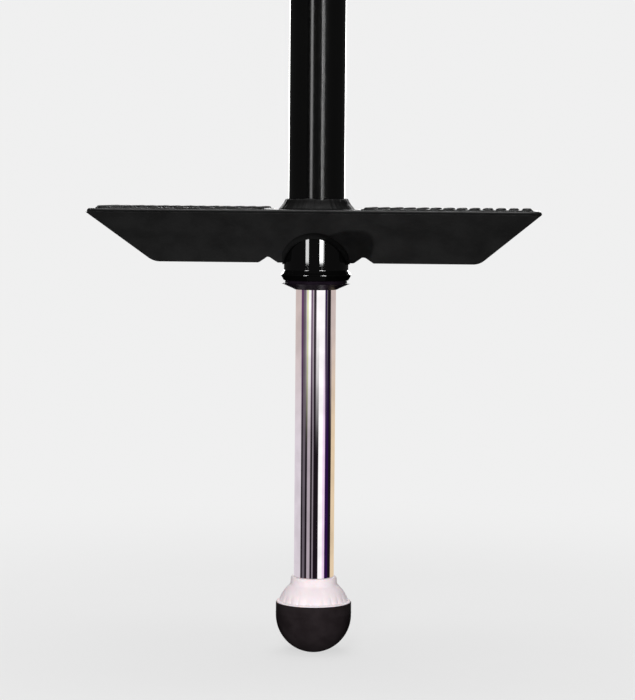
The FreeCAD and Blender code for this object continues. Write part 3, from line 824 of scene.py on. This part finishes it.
def curved_card(name, first, last, radius, low, high, material):
    """A strip of a cylinder about the stick between two angles from the front, seen in reflections."""
    build = bmesh.new()
    steps = max(4, int((last - first) / 3))
    rows = []
    for height in (low, high):
        angles = [math.radians(first + (last - first) * i / steps) for i in range(steps + 1)]
        rows.append([build.verts.new((radius * math.sin(a), -radius * math.cos(a), height)) for a in angles])
    for i in range(steps):
        build.faces.new((rows[0][i], rows[0][i + 1], rows[1][i + 1], rows[1][i]))
    card = link_mesh(name, build, material)
    hide_from(card, "camera", "diffuse", "shadow", "transmission", "volume_scatter")
    return card


def bands(tree, angle, stops):
    """A colour ramp over the angle from the front, -180 to 180 degrees, with short soft steps."""
    ramp = tree.nodes.new("ShaderNodeValToRGB")
    points = ramp.color_ramp.elements
    points.remove(points[1])
    points[0].position = 0.0
    points[0].color = (*stops[0][1], 1)
    for (turn, colour), (_, before) in zip(stops[1:], stops):
        place = (turn + 180) / 360
        first = points.new(place - 0.004)
        first.color = (*before, 1)
        second = points.new(place + 0.004)
        second.color = (*colour, 1)
    tree.links.new(angle, ramp.inputs["Fac"])
    return ramp.outputs["Color"]


def turn_from_front(tree, split):
    """The angle about the stick from the front, with -180 to 180 degrees mapped onto 0 to 1."""
    front = tree.nodes.new("ShaderNodeMath")
    front.operation = "MULTIPLY"
    front.inputs[1].default_value = -1.0
    tree.links.new(split.outputs["Y"], front.inputs[0])
    turn = tree.nodes.new("ShaderNodeMath")
    turn.operation = "ARCTAN2"
    tree.links.new(split.outputs["X"], turn.inputs[0])
    tree.links.new(front.outputs[0], turn.inputs[1])
    angle = tree.nodes.new("ShaderNodeMapRange")
    angle.inputs["From Min"].default_value = -math.pi
    angle.inputs["From Max"].default_value = math.pi
    tree.links.new(turn.outputs[0], angle.inputs["Value"])
    return angle.outputs[0]


def make_reflector():
    """What the chrome shows: a ring of pale and dark boards round the slider, more open near its top."""
    material, tree, light = glow("reflector", PALE)
    place = tree.nodes.new("ShaderNodeTexCoord")
    split = tree.nodes.new("ShaderNodeSeparateXYZ")
    tree.links.new(place.outputs["Object"], split.inputs[0])
    angle = turn_from_front(tree, split)
    lavender, white, pink = (0.76, 0.69, 0.75), (1.15, 1.12, 1.13), (0.95, 0.74, 0.95)
    yellow, peach, rose = (0.80, 0.84, 0.50), (0.82, 0.64, 0.43), (0.66, 0.55, 0.52)
    night, violet, plum = (0.012, 0.008, 0.012), (0.025, 0.006, 0.06), (0.12, 0.05, 0.13)
    grey, steel, silver = (0.15, 0.125, 0.15), (0.30, 0.26, 0.30), (0.48, 0.41, 0.46)
    low = bands(tree, angle, [
        (-180, lavender), (-84, night), (-72, grey), (-56, night), (-43, silver), (-25, night),
        (-14, steel), (-7, night), (21, white), (46, pink), (60, violet), (83, night), (106, peach),
    ])
    high = bands(tree, angle, [
        (-180, rose), (-88, plum), (-72, grey), (-57, silver), (-50, yellow), (-40, white), (-25, plum),
        (-17, silver), (-9, night), (0, grey), (5, white), (55, violet), (66, grey), (73, night), (96, rose),
    ])
    rise = tree.nodes.new("ShaderNodeMapRange")
    rise.interpolation_type = "SMOOTHSTEP"
    rise.inputs["From Min"].default_value = 0.09
    rise.inputs["From Max"].default_value = 0.22
    tree.links.new(split.outputs["Z"], rise.inputs["Value"])
    tree.links.new(blend(tree, rise.outputs[0], low, high), light.inputs["Color"])
    ring = curved_card("reflector", -180, 180, REFLECTOR_RADIUS, -0.32, 0.243, material)
    shine_on(ring, "slider_tube")


def make_strips():
    """Strips for the stripes on the black gloss, and a card behind for the sheen on the platform."""
    strips = (
        ("tube_left", -27, -18.5, 0.275, 1.6, 5.2, "main_tube"),
        ("tube_right", 19, 28.5, 0.275, 1.6, 19.0, "main_tube"),
        ("sleeve_left", -37.5, -26, 0.222, 0.275, 16.0, "lower_sleeve"),
        ("sleeve_right", 12, 25, 0.222, 0.275, 36.0, "lower_sleeve"),
        ("sleeve_edge", 25, 29, 0.222, 0.275, 8.0, "lower_sleeve"),
        ("lip_left", -42, -30, 0.275, 1.6, 30.0, "lower_sleeve"),
        ("lip_right", 20, 34, 0.275, 1.6, 40.0, "lower_sleeve"),
    )
    for name, first, last, low, high, power, target in strips:
        material = glow("strip_" + name, WHITE, power)[0]
        shine_on(curved_card("strip_" + name, first, last, CARD_RADIUS, low, high, material), target)
    curved_card("back_card", 155, 205, CARD_RADIUS, 0.305, 0.9, glow("back_card", WHITE, 7.0)[0])


def make_floor():
    """A pale floor that catches a soft shadow near the stick and fades into the backdrop."""
    material = bpy.data.materials.new("studio_floor")
    material.use_nodes = True
    tree = material.node_tree
    matt = tree.nodes["Principled BSDF"]
    matt.inputs["Roughness"].default_value = 0.9
    matt.inputs["Specular IOR Level"].default_value = 0.0
    grain = blend(tree, pattern(tree, 40 * MM), (0.80, 0.80, 0.80, 1), (0.83, 0.83, 0.83, 1))
    tree.links.new(grain, matt.inputs["Base Color"])
    light = tree.nodes.new("ShaderNodeEmission")
    light.inputs["Color"].default_value = PALE
    place = tree.nodes.new("ShaderNodeTexCoord")
    length = tree.nodes.new("ShaderNodeVectorMath")
    length.operation = "LENGTH"
    tree.links.new(place.outputs["Object"], length.inputs[0])
    mix = tree.nodes.new("ShaderNodeMixShader")
    tree.links.new(span(tree, length.outputs["Value"], 0.75, 1.0, 0.1, 0.8), mix.inputs[0])
    tree.links.new(matt.outputs[0], mix.inputs[1])
    tree.links.new(light.outputs[0], mix.inputs[2])
    tree.links.new(mix.outputs[0], tree.nodes["Material Output"].inputs["Surface"])
    build = bmesh.new()
    bmesh.ops.create_circle(build, cap_ends=True, segments=96, radius=FLOOR_RADIUS)
    floor = link_mesh("studio_floor", build, material)
    hide_from(floor, "diffuse", "glossy", "shadow")


def make_backdrop():
    """A pale ball round the whole studio, seen by the camera only."""
    build = bmesh.new()
    bmesh.ops.create_uvsphere(build, u_segments=64, v_segments=32, radius=FLOOR_RADIUS * 0.98)
    backdrop = link_mesh("backdrop", build, glow("backdrop", PALE)[0])
    hide_from(backdrop, "diffuse", "glossy", "transmission", "volume_scatter", "shadow")


def area_light(name, place, target, size, power, hidden=()):
    """A round lamp at a place, turned to a target and unseen by the camera and the hidden rays."""
    lamp = bpy.data.lights.new(name, "AREA")
    lamp.shape = "DISK"
    lamp.size = size
    lamp.energy = power
    made = bpy.data.objects.new(name, lamp)
    aim = (Vector(target) - Vector(place)).to_track_quat("-Z", "Y").to_matrix().to_4x4()
    made.matrix_world = studio_turn() @ Matrix.Translation(place) @ aim
    bpy.context.scene.collection.objects.link(made)
    hide_from(made, "camera", *hidden)
    return made


def make_lights():
    """Soft light from above and in front, and a low lamp that throws the sleeve's shadow on the flange."""
    world = bpy.data.worlds.new("studio")
    world.use_nodes = True
    world.node_tree.nodes["Background"].inputs["Color"].default_value = (0.05, 0.05, 0.05, 1)
    bpy.context.scene.world = world
    area_light("overhead", (0, 0.2, 2.6), (0, 0, 0), 2.2, 45.0)
    area_light("front_top", (-0.3, -2.2, 1.9), (0, 0, 0.3), 1.0, 20.0, ("glossy",))
    area_light("front_fill", (-0.2, -2.6, 0.0), (0, 0, 0.2), 1.2, 22.0, ("glossy",))
    foot_fill = area_light("foot_fill", (-0.1, -2.6, 0.0), (0, 0, 0.0), 1.2, 50.0, ("glossy",))
    shine_on(foot_fill, "bumper_tip", "bumper_collar")
    low_left = area_light("low_left", (-2.0, 0.42, -2.2), (0, 0, 0.28), 0.15, 160.0, ("glossy",))
    shine_on(low_left, "foot_platform", "sleeve_weld_front", "sleeve_weld_back")
    shades = pieces_of("low_left_shades", "lower_sleeve", "sleeve_weld_front", "rubber_seal")
    low_left.light_linking.blocker_collection = shades


def main():
    make_camera()
    mats = make_materials()
    for node, finish in CAD_FINISHES.items():
        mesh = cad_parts[node].data
        mesh.materials.clear()
        mesh.materials.append(mats[finish])
    make_main_tube(mats)
    make_sleeve(mats)
    make_seal(mats)
    make_slider(mats)
    make_bumper(mats)
    make_collar(mats)
    make_spring(mats)
    make_platform_weld(mats)
    for name, facing in (("sleeve_weld_front", -1), ("sleeve_weld_back", 1)):
        make_sleeve_weld(mats, name, facing)
    for side, hand in (("left", -1), ("right", 1)):
        make_bar_weld(mats, "handlebar_weld_" + side, hand)
        make_tread(mats, "tread_" + side, hand)
        make_grip(mats, "grip_" + side, hand)
    make_floor()
    make_backdrop()
    make_reflector()
    make_strips()
    make_lights()
    bpy.context.scene.view_settings.view_transform = "Standard"


main()
